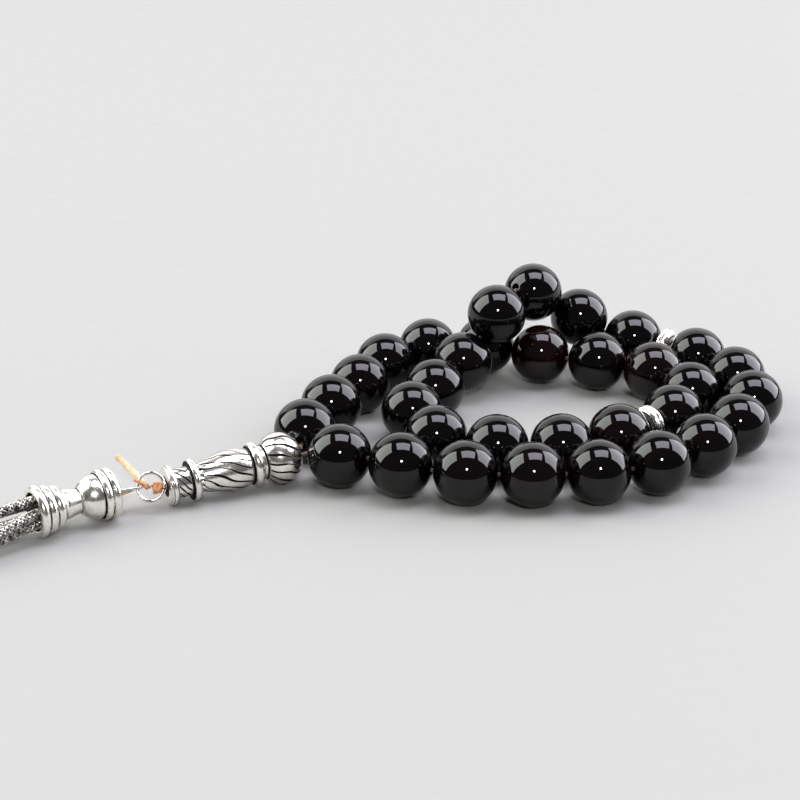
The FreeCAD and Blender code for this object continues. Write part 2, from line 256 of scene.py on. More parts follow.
agate = {"cloud": 4.5 * mm, "black": "#020203", "brown": "#080404", "red": "#160404",
         "roughness": (0.015, 0.05), "polishMarks": 0.35 * mm}


def makeAgate():
    # black dyed agate, polished like glass; a few beads let a dark red through
    material, tree, shader, coords = newMaterial("polishedBlackAgate")
    cloud = addNode(tree, "ShaderNodeTexNoise", {"Vector": coords},
                    {"Scale": 1 / agate["cloud"], "Detail": 5.0, "Roughness": 0.6, "Distortion": 0.8})
    dark = ramp(tree, cloud.outputs["Fac"], [(0.35, agate["black"]), (0.7, agate["brown"])])
    red = ramp(tree, cloud.outputs["Fac"], [(0.3, agate["brown"]), (0.7, agate["red"])])
    tint = addNode(tree, "ShaderNodeAttribute", attribute_name="tint")
    mixed = addNode(tree, "ShaderNodeMix", {"Factor": tint.outputs["Fac"], "A": dark, "B": red},
                    data_type="RGBA")
    tree.links.new(mixed.outputs["Result"], shader.inputs["Base Color"])
    marks = addNode(tree, "ShaderNodeTexNoise", {"Vector": coords},
                    {"Scale": 1 / agate["polishMarks"], "Detail": 3.0})
    rough = spread(tree, marks.outputs["Fac"], 0.3, 0.8, *agate["roughness"])
    tree.links.new(rough, shader.inputs["Roughness"])
    bump = addNode(tree, "ShaderNodeBump", {"Height": cloud.outputs["Fac"]},
                   {"Strength": 0.04, "Distance": 0.1 * mm})
    tree.links.new(bump.outputs["Normal"], shader.inputs["Normal"])
    shader.inputs["IOR"].default_value = 1.54
    shader.inputs["Specular IOR Level"].default_value = 0.3
    return material


silver = {"bright": "#faf8f1", "warm": "#e8e4d9", "black": "#0b0a09", "grain": 0.55 * mm,
          "scratch": 0.14 * mm, "roughness": (0.13, 0.3)}


def makeSilver():
    # cast silver plate, rubbed bright on the high places, black oxide left in the grooves
    material, tree, shader, coords = newMaterial("antiqueSilver")
    grain = addNode(tree, "ShaderNodeTexNoise", {"Vector": coords},
                    {"Scale": 1 / silver["grain"], "Detail": 4.0, "Roughness": 0.6})
    fine = addNode(tree, "ShaderNodeTexNoise", {"Vector": coords},
                   {"Scale": 1 / silver["scratch"], "Detail": 3.0})
    oxide = addNode(tree, "ShaderNodeAttribute", attribute_name="oxide")
    patchy = addNode(tree, "ShaderNodeMath", {0: grain.outputs["Fac"]}, {1: 0.55}, operation="SUBTRACT")
    uneven = addNode(tree, "ShaderNodeMath", {0: patchy.outputs["Value"], 2: oxide.outputs["Fac"]},
                     {1: 0.9}, operation="MULTIPLY_ADD")
    dark = spread(tree, uneven.outputs["Value"], 0.3, 0.62, 0.0, 1.0)
    metal = ramp(tree, grain.outputs["Fac"], [(0.35, silver["warm"]), (0.65, silver["bright"])])
    black = addNode(tree, "ShaderNodeRGB")
    black.outputs["Color"].default_value = hexColour(silver["black"])
    mixed = addNode(tree, "ShaderNodeMix", {"Factor": dark, "A": metal, "B": black.outputs["Color"]},
                    data_type="RGBA")
    tree.links.new(mixed.outputs["Result"], shader.inputs["Base Color"])
    rubbed = spread(tree, fine.outputs["Fac"], 0.3, 0.75, *silver["roughness"])
    rough = addNode(tree, "ShaderNodeMath", {0: dark, 2: rubbed}, {1: 0.35}, operation="MULTIPLY_ADD")
    tree.links.new(rough.outputs["Value"], shader.inputs["Roughness"])
    tree.links.new(spread(tree, dark, 0.0, 1.0, 1.0, 0.2), shader.inputs["Metallic"])
    tree.links.new(spread(tree, dark, 0.0, 1.0, 0.5, 0.08), shader.inputs["Specular IOR Level"])
    cast = addNode(tree, "ShaderNodeBump", {"Height": grain.outputs["Fac"]},
                   {"Strength": 0.22, "Distance": 0.05 * mm})
    rub = addNode(tree, "ShaderNodeBump",
                  {"Height": fine.outputs["Fac"], "Normal": cast.outputs["Normal"]},
                  {"Strength": 0.15, "Distance": 0.01 * mm})
    tree.links.new(rub.outputs["Normal"], shader.inputs["Normal"])
    return material


def makeWire(name, bright, dull, spot, roughness):
    # drawn silver wire: bright, or dulled by oxide in spots
    material, tree, shader, coords = newMaterial(name)
    stain = addNode(tree, "ShaderNodeTexNoise", {"Vector": coords}, {"Scale": 1 / spot, "Detail": 3.0})
    metal = ramp(tree, stain.outputs["Fac"], [(0.36, dull), (0.6, bright)])
    tree.links.new(metal, shader.inputs["Base Color"])
    rough = spread(tree, stain.outputs["Fac"], 0.3, 0.7, roughness[1], roughness[0])
    tree.links.new(rough, shader.inputs["Roughness"])
    shader.inputs["Metallic"].default_value = 1.0
    return material


thread = {"fibre": 0.05 * mm, "stain": 1.3 * mm}


def makeThread(name, light, deep):
    # waxed polyester thread: fine fibres, the wax darker where it was handled
    material, tree, shader, coords = newMaterial(name)
    stain = addNode(tree, "ShaderNodeTexNoise", {"Vector": coords},
                    {"Scale": 1 / thread["stain"], "Detail": 4.0, "Roughness": 0.65})
    fibre = addNode(tree, "ShaderNodeTexNoise", {"Vector": coords},
                    {"Scale": 1 / thread["fibre"], "Detail": 2.0, "Distortion": 1.5})
    colour = ramp(tree, stain.outputs["Fac"], [(0.34, deep), (0.62, light)])
    tree.links.new(colour, shader.inputs["Base Color"])
    rough = spread(tree, fibre.outputs["Fac"], 0.3, 0.7, 0.5, 0.75)
    tree.links.new(rough, shader.inputs["Roughness"])
    bump = addNode(tree, "ShaderNodeBump", {"Height": fibre.outputs["Fac"]},
                   {"Strength": 0.5, "Distance": 0.02 * mm})
    tree.links.new(bump.outputs["Normal"], shader.inputs["Normal"])
    shader.inputs["Subsurface Weight"].default_value = 0.25
    shader.inputs["Subsurface Radius"].default_value = (0.6, 0.3, 0.15)
    shader.inputs["Subsurface Scale"].default_value = 0.3 * mm
    shader.inputs["Sheen Weight"].default_value = 0.3
    return material


glue = {"dark": "#171311", "light": "#3a322b", "dust": 0.4 * mm, "roughness": (0.2, 0.45)}


def makeEpoxy():
    # dark cast glue with trapped dust
    material, tree, shader, coords = newMaterial("castEpoxyPlug")
    dust = addNode(tree, "ShaderNodeTexNoise", {"Vector": coords},
                   {"Scale": 1 / glue["dust"], "Detail": 4.0})
    colour = ramp(tree, dust.outputs["Fac"], [(0.4, glue["dark"]), (0.7, glue["light"])])
    tree.links.new(colour, shader.inputs["Base Color"])
    rough = spread(tree, dust.outputs["Fac"], 0.3, 0.7, *glue["roughness"])
    tree.links.new(rough, shader.inputs["Roughness"])
    return material


blackAgate = makeAgate()
antiqueSilver = makeSilver()
brightWire = makeWire("brightDrawnWire", "#efeeea", "#b5b2ac", 1.2 * mm, (0.08, 0.2))
braidWire = makeWire("oxidisedBraidWire", "#d6d1cb", "#4b4644", 0.7 * mm, (0.2, 0.42))
braidCore = makeWire("blackenedBraidCore", "#26221f", "#0c0a09", 0.5 * mm, (0.45, 0.7))
paleThread = makeThread("waxedThreadPale", "#dcbc98", "#bd9166")
deepThread = makeThread("waxedThreadDeep", "#c98d60", "#a0643a")
# the bead string's thread, painted dark all over: painted shade for the thread lying in the dark wedges
# between the beads
stringShadeThread = makeThread("waxedThreadPaintedShade", "#5e4434", "#2c1f18")
epoxy = makeEpoxy()
print("materials:", len(bpy.data.materials))

# tassel strands: a braid of fine silver wires over a dark core, all free cords
terminalSpin = jointOf["terminal_spin"]
linkPoint = Vector(jointOf["tassel_swing"]["pos_m"])
tassel = {"heading": 212, "linkToCap": 4.0 * mm, "capLength": 12.8 * mm}
tasselAxis = heading(tassel["heading"])
tasselSide = heading(tassel["heading"] + 90)
capTop = linkPoint + tasselAxis * tassel["linkToCap"]
capMouth = capTop + tasselAxis * tassel["capLength"]

strand = {
    "diameter": 1.8 * mm, "wire": 0.34 * mm, "wires": 6, "pitch": 4.4 * mm, "lift": 0.07 * mm,
    "perSpan": 54, "coreShare": 0.72, "inset": 1.45,
    "length": {1: 60.4 * mm, 2: 61.0 * mm, 3: 59.8 * mm, 4: 62.4 * mm, 5: 62.7 * mm},
    # distance from the cap's mouth, sideways, and height over the table, in mm
    "routes": {
        1: [(0.6, 1.71, 4.56), (6, 2.9, 3.8), (12, 4.2, 2.6), (18, 5.6, 1.6),
            (26, 6.5, 0.9), (36, 7.1, 0.9), (45, 6.7, 0.9), (53, 7.1, 0.9), (58, 6.9, 1.2)],
        2: [(0.6, 1.06, 2.54), (6, 1.6, 1.8), (12, 1.9, 1.1), (18, 2.2, 0.9),
            (27, 2.3, 0.9), (37, 1.5, 0.9), (46, 0.6, 0.9), (54, -0.4, 0.9), (59, -1.1, 1.2)],
        3: [(0.6, 0, 5.8), (6, -0.1, 5.2), (12, -0.2, 3.9), (18, -0.9, 2.5),
            (25, -1.8, 1.3), (33, -2.9, 0.9), (43, -5.2, 0.9), (52, -6.9, 0.9), (57, -8.0, 1.2)],
        4: [(0.6, -1.06, 2.54), (6, -1.6, 1.8), (12, -2.6, 1.1), (18, -3.9, 0.9),
            (27, -6.2, 0.9), (37, -8.5, 0.9), (46, -11.7, 0.9), (54, -14.4, 0.9), (58.5, -16.2, 1.2)],
        5: [(0.6, -1.71, 4.56), (6, -3.0, 3.7), (12, -5.0, 2.5), (18, -7.4, 1.5),
            (26, -10.9, 0.9), (36, -14.5, 0.9), (45, -17.9, 0.9), (52, -20.4, 0.9), (57, -22.6, 1.2)],
    },
}
tip = {"knob": 1.2, "collar": 1.1, "collarLength": 1.0, "socket": 0.93, "wall": 0.3, "edge": 0.1,
       "band": (-0.5, 0.1, 0.05), "seamWidth": 0.14}   # band: its height, half width and depth


def tasselPoint(out, side, height):
    level = Vector((capMouth.x, capMouth.y, 0))
    return level + (tasselAxis * out + tasselSide * side + up * height) * mm


def braidMesh(line):
    frames, lengths = lineFrames(line), lineLengths(line)
    count, middle = strand["wires"], strand["diameter"] / 2 - strand["wire"] / 2 - strand["lift"]
    wires = []
    for way in (1, -1):
        for number in range(count):
            wire = []
            for (place, side, lift), length in zip(frames, lengths):
                turn = 2 * math.pi * length / strand["pitch"]
                angle = 2 * math.pi * number / count + way * turn
                reach = middle + way * strand["lift"] * math.cos(count * turn)
                wire.append(place + (side * math.cos(angle) + lift * math.sin(angle)) * reach)
            wires.append(wire)
    wireMesh = tubeMesh(wires, strand["wire"] / 2)
    core = tubeMesh([line[::4] + [line[-1]]], strand["diameter"] / 2 * strand["coreShare"], 3)
    return joined([(core, 0), (wireMesh, 1)])


def tipProfile():
    sunk = math.sqrt(tip["knob"] ** 2 - tip["collar"] ** 2)
    middle, knob = tip["wall"] + sunk, tip["knob"]
    low = -tip["collarLength"]
    edge, bulge = tip["edge"], 0.3 * tip["edge"]
    outline = [(0, 0), (tip["socket"], 0), (tip["socket"], low), (tip["collar"] - edge, low)]
    outline += arc(outline[-1], (tip["collar"] - bulge, low + bulge), (tip["collar"], low + edge), 3)
    outline += [(tip["collar"], tip["wall"] - 0.06), (tip["collar"] - 0.07, tip["wall"])]
    outline += arc(outline[-1], (knob, middle), (0, middle + knob), 22)
    return outline


def tipShape(angle, height, radius):
    place, halfWidth, depth = tip["band"]
    seam = max(0.0, 1 - abs(height - tip["wall"]) / tip["seamWidth"])
    outside = radius > (tip["socket"] + tip["collar"]) / 2
    band = max(0.0, 1 - abs(height - place) / halfWidth) if outside else 0.0
    socket = 1.0 if radius < tip["socket"] + 0.02 and height <= 0.01 else 0.0
    return -depth * band, max(seam, band, socket)


for number, route in strand["routes"].items():
    route = [(-strand["inset"], *route[0][1:])] + route
    line = routeLine([tasselPoint(*p) for p in route], strand["perSpan"])
    name = f"strand_{number}"
    tipMesh = latheMesh(tipProfile(), 40, 0.12, tipShape)
    stand(tipMesh, line[-1], (line[-1] - line[-2]).normalized())
    tipPiece = addPiece(f"strandTip{number}", tipMesh, name, [f"strand_tip_{number}"],
                        "antique_silver", antiqueSilver)
    braid = addPiece(f"wireStrand{number}", braidMesh(line), name, [name],
                     "knitted_wire", braidCore, braidWire)
print("strands:", len(strand["routes"]))

# stone beads, each on its own place on the string
bead = {"radius": 5.0, "bore": 0.66, "chamfer": 0.14, "edge": 0.04, "arcSteps": 56, "spinSteps": 96,
        "red": {4: 0.25, 25: 0.45, 27: 0.7, 22: 0.2, 31: 0.25}}   # beads that let some red through


def beadProfile():
    mouth = bead["bore"] + bead["chamfer"]
    top = math.sqrt(bead["radius"] ** 2 - mouth ** 2)
    inner = top - bead["chamfer"]
    outline = [(bead["bore"], -inner), (bead["bore"], inner)]
    edge = bead["bore"] + bead["edge"]
    outline += arc(outline[-1], (edge, top - bead["edge"]), (mouth, top), 5)
    outline += arc((mouth, top), (bead["radius"], 0), (mouth, -top), bead["arcSteps"])
    outline += arc((mouth, -top), (edge, bead["edge"] - top), (bead["bore"], -inner), 5)[:-1]
    return outline


beadNames = sorted(name for name in frame["nodes"] if name.startswith("bead_") and name != "bead_string")
beadPlaces = []
for name in beadNames:
    spin = jointOf[name.replace("bead_", "bead_spin_")]
    centre, axis = Vector(spin["pos_m"]), Vector(spin["axis"])
    beadPlaces.append((centre, axis))
    mesh = latheMesh(beadProfile(), bead["spinSteps"])
    stand(mesh, centre, axis)
    number = int(name[-2:])
    tint = mesh.attributes.new("tint", "FLOAT", "POINT")
    tint.data.foreach_set("value", [bead["red"].get(number, 0.0)] * len(mesh.vertices))
    addPiece(f"stoneBead{number:02d}", mesh, name, [name], "polished_agate", blackAgate)
print("beads:", len(beadNames))

# disc dividers
divider = {"radius": 3.2, "bore": 0.9, "half": 1.0, "groove": 0.35, "rounding": (0.25, 0.12),
           "grooveCut": (0.16, 0.12), "dish": (2.2, 0.5)}   # dish: its radius and half width


def dividerProfile():
    rim, half = divider["radius"], divider["half"]
    valley = rim - divider["groove"]
    across, down = divider["rounding"]
    outline = [(divider["bore"], -half), (valley - across, -half)]
    outline += arc(outline[-1], (valley - 0.06, -half + 0.04), (valley, -half + down), 4)
    outline += arc(outline[-1], (rim, -half / 2), (valley, 0), 14)
    outline += arc(outline[-1], (rim, half / 2), (valley, half - down), 14)
    outline += arc(outline[-1], (valley - 0.06, half - 0.04), (valley - across, half), 4)
    outline += [(divider["bore"], half)]
    return outline


def dividerShape(angle, height, radius):
    width, depth = divider["grooveCut"]
    middle, halfWidth = divider["dish"]
    groove = max(0.0, 1 - abs(height) / width) if radius > 2.5 else 0.0
    dish = max(0.0, 1 - abs(radius - middle) / halfWidth) if abs(height) > 0.9 else 0.0
    hole = 1.0 if radius < 0.95 else 0.0
    return -depth * groove, max(groove, 0.7 * dish, hole)


for number in (1, 2):
    spin = jointOf[f"divider_spin_{number}"]
    mesh = latheMesh(dividerProfile(), 96, 0.2, dividerShape)
    stand(mesh, Vector(spin["pos_m"]), Vector(spin["axis"]))
    addPiece(f"discDivider{number}", mesh, f"divider_{number}", [f"divider_{number}"],
             "antique_silver", antiqueSilver)

# terminal: turned outline; twisted flutes on its barrels and crown show as black oxide lines, cut in as
# relief only where the radius is 1.8 to 2.2 mm
terminal = {
    "bore": 1.05, "chamfer": 0.45, "steps": 288, "longest": 0.16,
    "base": (3.15, 1.3), "shortBarrel": (2.3, 2.4), "lowerRing": (3.3, 1.2),
    "longBarrel": (2.0, 3.2, 2.7, 8.7), "upperRing": (3.5, 1.6), "neck": (2.6, 0.7),
    "crown": (4.05, 2.2, 5.8), "bellyPlace": 0.75, "crownWidest": 0.48,
    # from height, to height, flutes, turn in degrees per mm, depth, width of the black line
    "flutes": [(1.35, 3.65, 11, 30.0, 0.4, 0.8), (5.0, 13.6, 14, 9.5, 0.42, 0.6),
               (15.95, 21.5, 15, 7.0, 0.5, 0.62)],
    "footSeam": 0.4, "seams": [0.4, 1.3, 3.7, 4.9, 13.6, 15.2, 15.9],   # heights of the black joints
    "wander": 0.2, "fade": 0.3,   # of the flutes, in radians and in mm at their ends
}


def terminalProfile():
    bore, height = terminal["bore"], 0.0
    outline = [(bore, 0.0)]

    def ring(radius, length, root):
        flat = radius - length / 2
        outline.extend([(root, height), (flat, height)])
        outline.extend(arc((flat, height), (radius, height + length / 2), (flat, height + length), 18))

    ring(*terminal["base"], bore)
    height += terminal["base"][1]
    barrel, length = terminal["shortBarrel"]
    outline.extend([(barrel, height), (barrel, height + length)])
    height += length
    ring(*terminal["lowerRing"], barrel)
    height += terminal["lowerRing"][1]
    foot, belly, top, length = terminal["longBarrel"]
    outline.append((foot, height))
    shoulder = (belly - 0.06, height + 0.55 * length)
    waist = ((foot + belly) / 2 + 0.05, height + 0.27 * length)
    widest = (belly, height + terminal["bellyPlace"] * length)
    outline.extend(arc((foot, height), waist, shoulder, 26))
    outline.extend(arc(shoulder, widest, (top, height + length), 22))
    height += length
    ring(*terminal["upperRing"], top)
    height += terminal["upperRing"][1]
    neck, length = terminal["neck"]
    outline.extend([(neck, height), (neck, height + length)])
    height += length
    crown, crownTop, length = terminal["crown"]
    widest = (crown, height + terminal["crownWidest"] * length)
    outline.extend(arc((neck, height), widest, (crownTop, height + length), 44))
    height += length
    outline.extend([(bore + terminal["chamfer"], height), (bore, height - terminal["chamfer"])])
    return outline


def terminalShape(angle, height, radius):
    if radius < 1.6:
        return 0.0, 1.0
    change, dark = 0.0, 0.0
    x, y = math.cos(angle), math.sin(angle)
    for low, high, count, turn, depth, width in terminal["flutes"]:
        if low <= height <= high and radius > 1.8:
            wander = noise.noise(Vector((x * 1.3, y * 1.3, height * 0.45))) * terminal["wander"]
            wave = abs(math.sin(count / 2 * (angle - math.radians(turn) * height + wander)))
            ends = min(height - low, high - height) / terminal["fade"]
            fade = max(0.0, min(1.0, ends))
            patch = noise.noise(Vector((x * 2.2, y * 2.2, height * 0.4)))
            strength = fade * (0.95 + 0.7 * patch)
            change = -depth * strength * (1 - wave ** 0.6)
            dark = strength * max(0.0, 1 - (wave / width) ** 1.5) * 1.15
    for seam in terminal["seams"]:
        atFoot = seam == terminal["footSeam"]
        dark = max(dark, 1.1 - abs(height - seam) / (0.1 if atFoot else 0.24))
        if atFoot and radius > 2.2:
            change = -0.1 * max(0.0, 1 - abs(height - seam) / 0.14)
    if height < 0.05 or height > 21.45:
        dark = max(dark, 0.8 if radius < 1.5 else 0.3)
    return change, min(1.0, max(0.0, dark))


terminalFoot, terminalAxis = Vector(terminalSpin["pos_m"]), Vector(terminalSpin["axis"])
mesh = stand(latheMesh(terminalProfile(), terminal["steps"], terminal["longest"], terminalShape),
             terminalFoot, terminalAxis, up)
addPiece("flutedTerminal", mesh, "terminal", ["terminal"], "antique_silver", antiqueSilver)
print("terminal:", len(mesh.polygons), "faces")

# tassel cap
cap = {"mouth": 4.0, "cup": 2.9, "cupDepth": 2.45, "ridges": 3, "ridge": 1.4, "ridgeStep": 0.35,
       "neck": (2.35, 1.9, 2.9), "bell": (3.4, 3.1), "topRing": (3.9, 1.3), "hole": 1.2, "edge": 0.15,
       "steps": 160, "longest": 0.16,
       # heights of the black joints and half their widths
       "seams": [(1.4, 0.24), (2.8, 0.24), (4.2, 0.2), (7.1, 0.16), (10.2, 0.26), (11.5, 0.22)]}


def capProfile():
    outline, height = [(cap["cup"], 0.25)], 0.0
    outline += arc(outline[-1], (cap["cup"] + 0.07, 0.07), (cap["cup"] + 0.25, 0.0), 4)
    ridge = cap["ridge"]
    for step in range(cap["ridges"]):
        rim = cap["mouth"] - step * cap["ridgeStep"]
        root = rim - 0.3 * ridge
        outline.append((root, height))
        outline += arc((root, height), (rim, height + ridge / 2), (root, height + ridge), 16)
        height += ridge
    wide, narrow, length = cap["neck"]
    outline.append((wide + 0.6, height))
    outline += arc(outline[-1], (wide + 0.15, height + 0.25), (wide, height + 0.8), 8)
    height += length
    outline.append((narrow, height))
    bell, length = cap["bell"]
    swell = ((narrow + bell) / 2 + 0.35, height + 0.4 * length)
    outline += arc((narrow, height), swell, (bell, height + length), 18)
    height += length
    rim, length = cap["topRing"]
    flat = rim - length / 3
    for _ in range(2):
        outline.append((flat, height))
        outline += arc((flat, height), (rim, height + length / 2), (flat, height + length), 14)
        height += length
    outline += [(cap["hole"] + cap["edge"], height), (cap["hole"], height - cap["edge"]),
                (cap["hole"], cap["cupDepth"]), (cap["cup"], cap["cupDepth"])]
    return outline


def capShape(angle, height, radius):
    inside = radius < cap["cup"] + 0.02 and 0.3 < height < cap["cupDepth"] + 0.02
    if 0.05 < height <= 0.3 and radius < cap["cup"] + 0.1:
        return 0.0, 0.6
    if inside or radius < cap["hole"] + 0.02:
        return 0.0, 1.0
    dark, change = 0.0, 0.0
    for seam, width in cap["seams"]:
        here = max(0.0, 1 - abs(height - seam) / width)
        worn = 0.85 + 0.6 * noise.noise(Vector((angle * 1.4, seam * 3.0, 1.0)))
        dark = max(dark, here * worn)
        change -= 0.1 * max(0.0, here - 0.3)
    if height > 12.75 and radius < 2.6:
        dark = max(dark, 0.5)
    return change, min(1.0, dark)


mesh = latheMesh(capProfile(), cap["steps"], cap["longest"], capShape)
stand(mesh, capMouth, -tasselAxis)
addPiece("tasselCap", mesh, "tassel", ["tassel_cap"], "antique_silver", antiqueSilver)
print("cap:", len(mesh.polygons), "faces")


# thread: plies twisted round a line
def pliedThread(points, radius, perSpan, plies=3, pitch=1.5 * mm, taper=None, unlay=None):
    line = routeLine(points, perSpan)
    frames, lengths = lineFrames(line), lineLengths(line)
    lines = []
    for ply in range(plies):
        wound = []
        for (place, side, lift), length in zip(frames, lengths):
            angle = 2 * math.pi * (ply / plies + length / pitch)
            reach = radius * 0.5 * (unlay(length / lengths[-1]) if unlay else 1.0)
            wound.append(place + (side * math.cos(angle) + lift * math.sin(angle)) * reach)
        lines.append(wound)
    return tubeMesh(lines, radius * 0.54, 1, taper), line


def knotLine(centre, axis, radius, turn=0.0, steps=120):
    # an overhand knot pulled tight, round an axis
    side = axis.orthogonal().normalized()
    lift = axis.cross(side)
    line = []
    for step in range(steps):
        t = 2 * math.pi * step / steps + turn
        x, y, z = math.sin(t) + 2 * math.sin(2 * t), math.cos(t) - 2 * math.cos(2 * t), -math.sin(3 * t)
        line.append(centre + (side * x + lift * y) * radius / 3 + axis * z * radius * 0.75)
    return line


def pliedLoop(line, radius, turns, plies=3):
    # plies twisted round a closed line
    lines = []
    count = len(line)
    for ply in range(plies):
        wound = []
        for k, place in enumerate(line):
            tangent = (line[(k + 1) % count] - line[k - 1]).normalized()
            middle = sum(line, Vector()) / count
            side = (place - middle).cross(tangent).normalized()
            angle = 2 * math.pi * (ply / plies + turns * k / count)
            out = side * math.cos(angle) + tangent.cross(side) * math.sin(angle)
            wound.append(place + out * radius * 0.5)
        lines.append(wound)
    return tubeMesh(lines, radius * 0.54, 1, closed=True)


string = {"radius": 0.4 * mm, "spacing": 0.9 * mm, "straightHalf": 4.3 * mm,
          "terminalLength": 21.7 * mm, "crownLead": 0.7 * mm, "perSpan": 10}
knots = {
    "stopGap": 0.1 * mm, "stopRadius": 1.1 * mm, "tieRadius": 0.55 * mm, "tieThread": 0.25 * mm,
    "tieReach": 1.4 * mm, "tiePlace": 165, "clearance": 0.1 * mm, "gap": 0.02 * mm, "loopSteps": 48,
    # each turn of a knot: share of the knot's radius, turned start, thread radius, twists
    "stopWrap": (0.66, 0.0, 0.36 * mm, 7), "stopHeart": (0.5, 0.6, 0.34 * mm, 6),
    "tieWrap": (0.58, 0.0, 0.19 * mm, 5), "tieHeart": (0.45, 0.4, 0.19 * mm, 5),
}
ring = {"radius": 2.15 * mm, "wire": 0.25 * mm, "turn": -12, "lean": 26}

stringSide = up.cross(terminalAxis).normalized() * string["spacing"] / 2
parting = terminalFoot + terminalAxis * (string["terminalLength"] + string["crownLead"])
stringFoot = terminalFoot - terminalAxis * (knots["stopGap"] + knots["stopRadius"] / 2)
route = [stringFoot - stringSide, parting - stringSide]
for centre, axis in beadPlaces:
    route += [centre - axis * string["straightHalf"], centre + axis * string["straightHalf"]]
route += [parting + stringSide, stringFoot + stringSide]
stringMesh, _ = pliedThread(route, string["radius"] * 0.9, string["perSpan"])
# the bead string gets the thread painted dark, its colour painted shade from the beads round it
addPiece("beadString", stringMesh, "string", ["bead_string"], "waxed_thread", stringShadeThread)

ringRight = heading(ring["turn"])
lean = math.radians(ring["lean"])
ringUp = heading(ring["turn"] + 90) * math.sin(lean) + up * math.cos(lean)
ringCentre = linkPoint + ringRight * ring["radius"]


def onRing(degrees):
    angle = math.radians(degrees)
    return ringCentre + (ringRight * math.cos(angle) + ringUp * math.sin(angle)) * ring["radius"]


def knotTurn(name, centre, axis, radius):
    share, start, threadRadius, twists = knots[name]
    return pliedLoop(knotLine(centre, axis, radius * share, start), threadRadius, twists), 0


stopMiddle = terminalFoot - terminalAxis * (knots["stopGap"] + knots["stopRadius"])
stopAcross = terminalAxis.orthogonal().normalized()
stopKnot = [knotTurn("stopWrap", stopMiddle, terminalAxis, knots["stopRadius"]),
            knotTurn("stopHeart", stopMiddle, stopAcross, knots["stopRadius"])]
addPiece("stopKnot", joined(stopKnot), "string", ["stop_knot"], "waxed_thread", deepThread)

tieMiddle = linkPoint + (stopMiddle - linkPoint).normalized() * knots["tieReach"]
loopCentre = onRing(knots["tiePlace"])
loopAngle = math.radians(knots["tiePlace"])
loopAxis = ringUp * math.cos(loopAngle) - ringRight * math.sin(loopAngle)
loopRadius = ring["wire"] + knots["clearance"] + knots["tieThread"]
toKnot = (tieMiddle - loopCentre).normalized()
acrossKnot = loopAxis.cross(toKnot)
tieLoop = []
for k in range(knots["loopSteps"]):
    angle = 2 * math.pi * k / knots["loopSteps"]
    tieLoop.append(loopCentre + (toKnot * math.cos(angle) + acrossKnot * math.sin(angle)) * loopRadius)
tieEnd = stopMiddle + (tieMiddle - stopMiddle).normalized() * (knots["stopRadius"] + knots["gap"])
loopSide = loopCentre + toKnot * loopRadius
tieKnot = [(pliedLoop(tieLoop, knots["tieThread"] * 0.96, 5), 0),
           knotTurn("tieWrap", tieMiddle, toKnot, knots["tieRadius"]),
           knotTurn("tieHeart", tieMiddle, toKnot.orthogonal().normalized(), knots["tieRadius"])]
for end in (tieEnd, loopSide):
    link, _ = pliedThread([tieMiddle, tieMiddle.lerp(end, 0.5), end], knots["tieThread"], 12)
    tieKnot.append((link, 0))
addPiece("tieKnot", joined(tieKnot), "string", ["tie_knot"], "waxed_thread", deepThread)

# shares of the tail's length: where it unlays, where it thins; and how thin it starts and ends
tail = {"radius": 0.5 * mm, "fibres": 70, "fibreRadius": 0.045 * mm, "fray": 0.72, "thins": 0.8,
        "atKnot": 0.62, "atEnd": 0.25,
        "route": [(0, 0, 0), (-1.1, 1.2, 0.7), (-3.1, 3.5, 1.6), (-5.0, 5.6, 2.3)]}


def tailTaper(t):
    grown = min(1.0, tail["atKnot"] + 1.6 * t)
    thinned = max(0.0, t - tail["thins"]) / (1 - tail["thins"])
    return grown * (1 - (1 - tail["atEnd"]) * thinned)


def tailUnlay(t):
    return 1 + 0.5 * max(0.0, t - tail["fray"])


tailPoints = [tieMiddle + Vector(p) * mm for p in tail["route"]]
tailMesh, tailLine = pliedThread(tailPoints, tail["radius"], 30, unlay=tailUnlay, taper=tailTaper)
fibres = []
frames = lineFrames(tailLine)
for _ in range(tail["fibres"]):
    angle, reach = random.uniform(0, 2 * math.pi), random.uniform(0.1, 0.75)
    first = int(len(frames) * random.uniform(tail["fray"] - 0.1, 0.93))
    fibre = []
    for k in range(first, len(frames)):
        place, side, lift = frames[k]
        t = (k - first) / max(1, len(frames) - first)
        out = side * math.cos(angle + t) + lift * math.sin(angle + t)
        fibre.append(place + out * tail["radius"] * (reach + 0.5 * t * t))
    if len(fibre) > 2:
        fibres.append(fibre)
fibreMesh = tubeMesh(fibres, tail["fibreRadius"], 0, lambda t: 1 - 0.6 * t)
addPiece("threadTail", joined([(tailMesh, 0), (fibreMesh, 0)]), "string", ["thread_tail"],
         "waxed_thread", paleThread)

# from the link: distances along the tassel, sideways and up, then into the cap to the plug
capThread = {"radius": 0.3 * mm, "below": 0.75 * mm, "route": [(0.3, -0.95, -0.95), (1.9, -0.4, -0.9)]}
capThreadPoints = [linkPoint + (tasselAxis * out + tasselSide * side + up * height) * mm
                   for out, side, height in capThread["route"]]
plugFace = capTop + tasselAxis * (tassel["capLength"] - cap["cupDepth"] * mm)
capThreadPoints += [end - up * capThread["below"] for end in (capTop, plugFace)]
capThreadMesh, _ = pliedThread(capThreadPoints, capThread["radius"], 24)
addPiece("capThread", capThreadMesh, "tassel", ["cap_thread"], "waxed_thread", paleThread)
print("threads made")

# wire ring, wire eyelet and plug are shown as designed
for node, material in (("jump_ring", brightWire), ("cap_eyelet", brightWire), ("strand_plug", epoxy)):
    piece = frame["nodes"][node]
    piece.data.materials.clear()
    piece.data.materials.append(material)

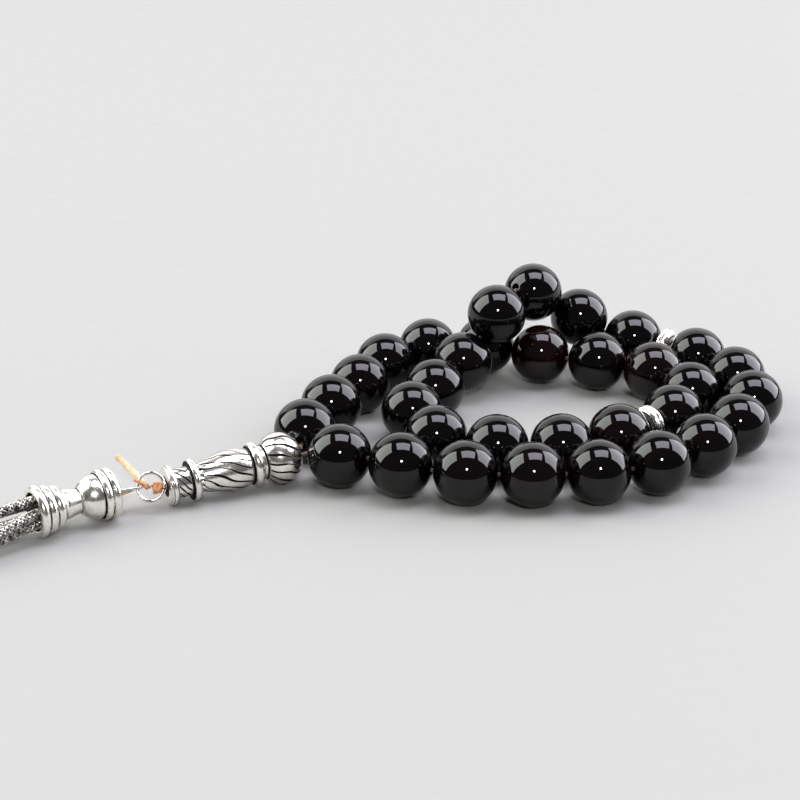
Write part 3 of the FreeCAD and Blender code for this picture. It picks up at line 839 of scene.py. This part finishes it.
# table
table = {"size": 6.0, "drop": 0.02 * mm, "colour": "#8e8d8b", "grain": 3.0 * mm}   # size in metres
bm = bmesh.new()
bmesh.ops.create_grid(bm, x_segments=1, y_segments=1, size=table["size"] / 2)
tableMesh = bpy.data.meshes.new("table")
bm.to_mesh(tableMesh)
bm.free()
tableTop = bpy.data.objects.new("table", tableMesh)
tableTop.location.z = -table["drop"]
scene.collection.objects.link(tableTop)
matteTop, tree, shader, coords = newMaterial("paleTableTop")
grain = addNode(tree, "ShaderNodeTexNoise", {"Vector": coords},
                {"Scale": 1 / table["grain"], "Detail": 3.0})
tree.links.new(spread(tree, grain.outputs["Fac"], 0.3, 0.7, 0.55, 0.62), shader.inputs["Roughness"])
shader.inputs["Base Color"].default_value = hexColour(table["colour"])
shader.inputs["Specular IOR Level"].default_value = 0.2
tableMesh.materials.append(matteTop)

# studio: three soft boxes, a pale backdrop and one small lamp, all aimed at the beads, in metres
studio = {
    "overhead": {"direction": (0.12, 0.05, 0.99), "distance": 1.6, "size": (1.12, 0.8),
                 "turn": 70, "radiance": 8.4, "colour": "#f3f1ff"},
    "left": {"direction": (-0.80, 0.11, 0.59), "distance": 1.6, "size": (1.2, 1.55),
             "turn": 0, "radiance": 7.5, "colour": "#fbfff8"},
    "right": {"direction": (0.82, 0.27, 0.50), "distance": 1.6, "size": (1.3, 1.5),
              "turn": 0, "radiance": 7.9, "colour": "#f5f7ff"},
    "backdrop": {"direction": (0, 0.88, 0.47), "distance": 2.4, "size": (4.6, 2.1),
                 "turn": 0, "radiance": 1.4, "colour": "#fdfcff"},
    "lamp": {"direction": (0.04, -0.81, 0.60), "distance": 1.6, "size": (0.18, 0.18),
             "turn": 0, "radiance": 105, "colour": "#ffffff"},
}
for name, light in studio.items():
    lamp = bpy.data.lights.new(name, "AREA")
    lamp.shape = "DISK" if name == "lamp" else "RECTANGLE"
    lamp.size, lamp.size_y = light["size"]
    area = light["size"][0] * light["size"][1]
    lamp.energy = light["radiance"] * math.pi * area
    lamp.color = hexColour(light["colour"])[:3]
    holder = bpy.data.objects.new(name, lamp)
    direction = Vector(light["direction"]).normalized()
    holder.location = direction * light["distance"]
    holder.rotation_mode = "QUATERNION"
    turn = Quaternion((0, 0, 1), math.radians(light["turn"]))
    holder.rotation_quaternion = direction.to_track_quat("Z", "Y") @ turn
    holder.visible_camera = False
    scene.collection.objects.link(holder)

roomLight = {"reflected": 0.1, "seen": "#e5e5e5"}
world = bpy.data.worlds.new("studio")
scene.world = world
world.use_nodes = True
background = world.node_tree.nodes["Background"]
seen = addNode(world.node_tree, "ShaderNodeLightPath").outputs["Is Camera Ray"]
room = addNode(world.node_tree, "ShaderNodeMix", {"Factor": seen}, data_type="RGBA")
room.inputs["A"].default_value = (*[roomLight["reflected"]] * 3, 1)
room.inputs["B"].default_value = hexColour(roomLight["seen"])
world.node_tree.links.new(room.outputs["Result"], background.inputs["Color"])
scene.view_settings.view_transform = "Standard"
print("studio:", len(studio), "lights")
